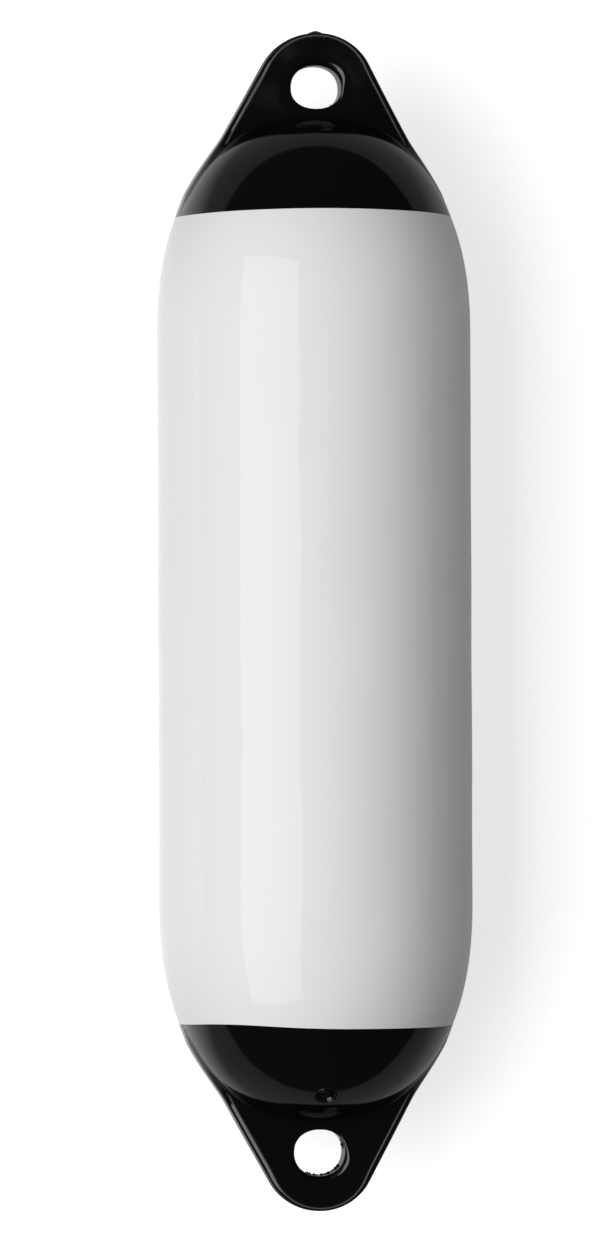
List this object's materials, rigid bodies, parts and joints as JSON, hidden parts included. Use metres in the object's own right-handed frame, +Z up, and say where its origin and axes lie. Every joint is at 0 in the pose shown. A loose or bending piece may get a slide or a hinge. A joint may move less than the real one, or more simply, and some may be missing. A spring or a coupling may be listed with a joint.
{
  "type": "boat fender",
  "caption": "Inflatable cylindrical boat fender, white with black domed ends, each end with a flat rope lug and oval eye, and a screw valve.",
  "frame": {"origin": "on the floor, under the middle of the overall length", "axes": "the fender lies on its side: +Y runs along it, from the valve's end to the other, +Z is up, and both lugs lie level"},
  "size_m": [0.12, 0.4514, 0.1192],
  "materials": {
    "white_vinyl": "glossy moulded vinyl",
    "black_vinyl": "glossy moulded vinyl",
    "valve_plastic": "satin hard plastic"
  },
  "bodies": {
    "root": {"fender_body": "white_vinyl", "valve_collar": "black_vinyl", "valve_screw": "valve_plastic"}
  },
  "joints": []
}
